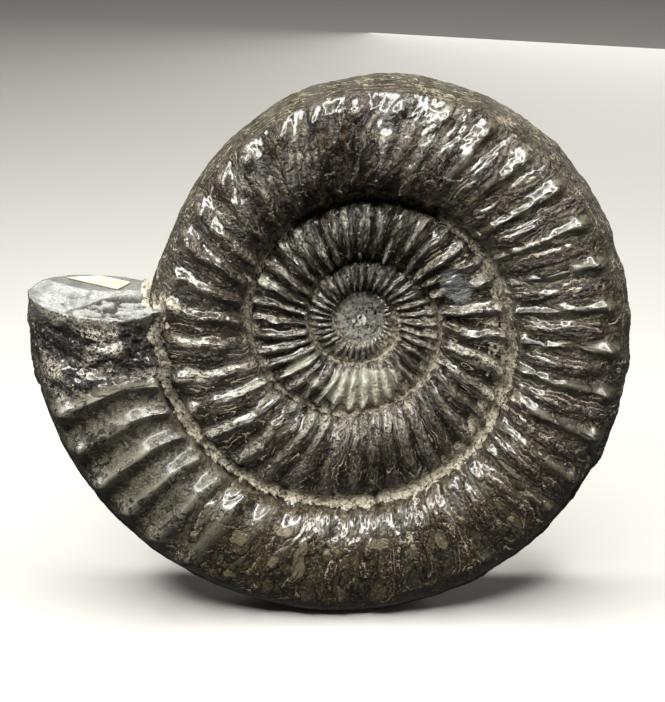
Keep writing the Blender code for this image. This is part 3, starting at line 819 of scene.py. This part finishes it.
# Grit on top of all: most of it on dusty and rough stone, least on the polished crests.
gritty = add_node("Math", field["rough"], product(field["outer"], 0.4), operation="MAXIMUM")
gritty = add_node("Math", gritty, dusty, operation="MAXIMUM")
least = add_node("Math", smooth, 0.09, 0.02, operation="MULTIPLY_ADD")
gritty = add_node("Math", gritty, 0.45, least, operation="MULTIPLY_ADD")
height = add_node("Math", product(height, whole), product(noise["speck"], gritty), operation="ADD")
height = add_node("Math", height, product(noise["grit"], gritty, 0.3), operation="ADD")
gloomy = add_node("Math", field["hollow"], field["shade"], operation="MAXIMUM")
add_node("OutputMaterial", add_node("BsdfPrincipled", links={
    "Base Color": colour, "Roughness": product((dull, 0.0, 1.0, 0.32, 0.85)), "IOR": 1.6,
    "Normal": add_node("Bump", links={"Height": height, "Distance": MM, "Strength": 1.0}),
    "Coat Weight": product((dull, 0.7, 0.1)), "Coat Roughness": 0.18, "Coat IOR": 1.6,
    "Specular IOR Level": product((gloomy, 0.0, 0.8, 0.5, 0.1)),
}))
coil_mesh.materials.append(stone)
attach(ribbed_coil, "root")
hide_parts("ammonite")

# The paper slip: an old collection label of rag paper, cut by hand to a slanted strip and glued down flat on
# the broken end. Its edges have come up a little, and it is blank.
SLIP_STEPS = 16
# Corners as radius from the coil axis and y, then heights over the plane of the broken end, all in mm.
SLIP_CORNERS = ((49.0, 7.4), (43.8, 10.6), (38.3, 8.0), (40.0, 3.2))
SLIP_LEVEL = 0.42
SLIP_THICKNESS = 0.16
SLIP_CURL = 0.22
SLIP_WAVES = 0.05

along, over = np.meshgrid(np.linspace(0, 1, SLIP_STEPS), np.linspace(0, 1, SLIP_STEPS), indexing="ij")
corner = [np.array(place)[None, None] for place in SLIP_CORNERS]
flat = corner[0] * ((1 - along) * (1 - over))[..., None] + corner[1] * (along * (1 - over))[..., None]
flat = flat + corner[2] * (along * over)[..., None] + corner[3] * ((1 - along) * over)[..., None]
raised = SLIP_LEVEL + SLIP_CURL * (np.maximum(np.abs(along - 0.5), np.abs(over - 0.5)) * 2) ** 6
raised = raised + SLIP_WAVES * grain(np.stack([flat[..., 0], flat[..., 1], 0.0 * along], -1), 3.0, 91)
level = np.stack([raised - SLIP_THICKNESS, raised])
sheet = flat[None, ..., :1] * outward + flat[None, ..., 1:] * sideways
sheet = (sheet + normal_of_end * level[..., None] + COIL_AXIS) * MM
numbers = np.arange(sheet[..., 0].size).reshape(sheet.shape[:-1])
edge = [numbers[:, :-1, 0], numbers[:, -1, :-1], numbers[:, :0:-1, -1], numbers[:, 0, :0:-1]]
edge = np.concatenate(edge, axis=1)
edge = np.concatenate([edge, edge[:, :1]], axis=1)
squares = [
    np.stack([grid[:-1, :-1], grid[1:, :-1], grid[1:, 1:], grid[:-1, 1:]], -1).reshape(-1, 4)
    for grid in (numbers[0], numbers[1])
]
squares.append(np.stack([edge[0, :-1], edge[0, 1:], edge[1, 1:], edge[1, :-1]], -1))
slip_mesh = bpy.data.meshes.new("blank_slip")
slip_mesh.from_pydata(sheet.reshape(-1, 3).tolist(), [], np.concatenate(squares).tolist())
shape = bmesh.new()
shape.from_mesh(slip_mesh)
bmesh.ops.recalc_face_normals(shape, faces=shape.faces)
shape.to_mesh(slip_mesh)
shape.free()
slip_mesh.shade_smooth()
slip_mesh.set_sharp_from_angle(angle=math.radians(50.0))
blank_slip = bpy.data.objects.new("blank_slip", slip_mesh)
bpy.context.scene.collection.objects.link(blank_slip)

# Rag paper, made by hand long ago: matt cream, with short fibres and faint brown spots of age.
paper = bpy.data.materials.new("aged_rag_paper")
paper.use_nodes = True
tree = paper.node_tree
tree.nodes.clear()
spot = add_node("TexCoord", output="Object")
fibres, ageing = [
    add_node("TexNoise", output="Fac", links={"Vector": spot, "Scale": 1.0 / size, "Detail": 4.0})
    for size in (0.25 * MM, 2.5 * MM)
]
mix = {SHARE: product((ageing, 0.5, 0.7)), UNDER: linear("#aea898"), OVER: linear("#9b937b")}
add_node("OutputMaterial", add_node("BsdfPrincipled", links={
    "Base Color": add_node("Mix", output=MIXED, links=mix, data_type="RGBA"), "Roughness": 0.85, "IOR": 1.5,
    "Normal": add_node("Bump", links={"Height": fibres, "Distance": 0.03 * MM, "Strength": 1.0}),
}))
slip_mesh.materials.append(paper)
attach(blank_slip, "root")
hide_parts("paper_label")

# The stage: a plain pale floor, soft studio light from above with a weak fill, and the camera, which looks
# down on the front at 17 degrees.
bpy.ops.mesh.primitive_plane_add(size=4.0)
floor = bpy.context.object
floor.name = "floor"
pale = bpy.data.materials.new("pale_paper")
pale.use_nodes = True
pale.node_tree.nodes["Principled BSDF"].inputs["Base Color"].default_value = linear("#b8b7b4")
pale.node_tree.nodes["Principled BSDF"].inputs["Roughness"].default_value = 0.9
floor.data.materials.append(pale)
# The floor stays out of the reflections and gives no light back, so that the dark stone keeps its depth.
floor.visible_glossy = False
floor.visible_diffuse = False

world = bpy.data.worlds.new("studio")
bpy.context.scene.world = world
world.use_nodes = True
world.node_tree.nodes["Background"].inputs["Color"].default_value = (1.0, 0.98, 0.93, 1.0)
world.node_tree.nodes["Background"].inputs["Strength"].default_value = 0.06

# A ring of soft lamps above the front, in m and W, as it shines back from each polished rib.
RING_MIDDLE = Vector((-0.05, -0.15, 0.46))
RING_RADIUS = 0.21
RING_PARTS = 14
LAMP_AIM = Vector((0.0, 0.0, 0.045))
LAMP_COLOUR = (1.0, 0.985, 0.945)
aim = (LAMP_AIM - RING_MIDDLE).to_track_quat("-Z", "Y")
lights = [("fill", Vector((0.5, -0.45, 0.35)), 0.3, 0.2), ("back", Vector((0.2, 0.55, 0.12)), 0.4, 1.2)]
for i in range(RING_PARTS):
    turn = 2 * math.pi * i / RING_PARTS
    at = RING_MIDDLE + aim @ Vector((math.cos(turn), math.sin(turn), 0.0)) * RING_RADIUS
    lights.append((f"ring_{i}", at, 0.09, 0.62))
for name, at, size, power in lights:
    light = bpy.data.lights.new(name, "AREA")
    light.shape, light.size, light.energy, light.color = "SQUARE", size, power, LAMP_COLOUR
    lamp = bpy.data.objects.new(name, light)
    lamp.location = at
    lamp.rotation_euler = (LAMP_AIM - at).to_track_quat("-Z", "Y").to_euler()
    bpy.context.scene.collection.objects.link(lamp)

# The camera in m, with a long lens in mm, tilted up from straight down to 17 degrees above level.
CAMERA_AT = (0.000465, -0.349826, 0.151477)
CAMERA_LENS = 112.8
CAMERA_TILT = math.radians(90.0 - 17.0)
camera_data = bpy.data.cameras.new("camera")
camera_data.lens = CAMERA_LENS
camera_data.sensor_width = 36.0
camera_data.clip_start = 0.01
camera = bpy.data.objects.new("camera", camera_data)
camera.location = CAMERA_AT
camera.rotation_euler = (CAMERA_TILT, 0.0, 0.0)
bpy.context.scene.collection.objects.link(camera)
bpy.context.scene.camera = camera
bpy.context.scene.view_settings.view_transform = "Standard"
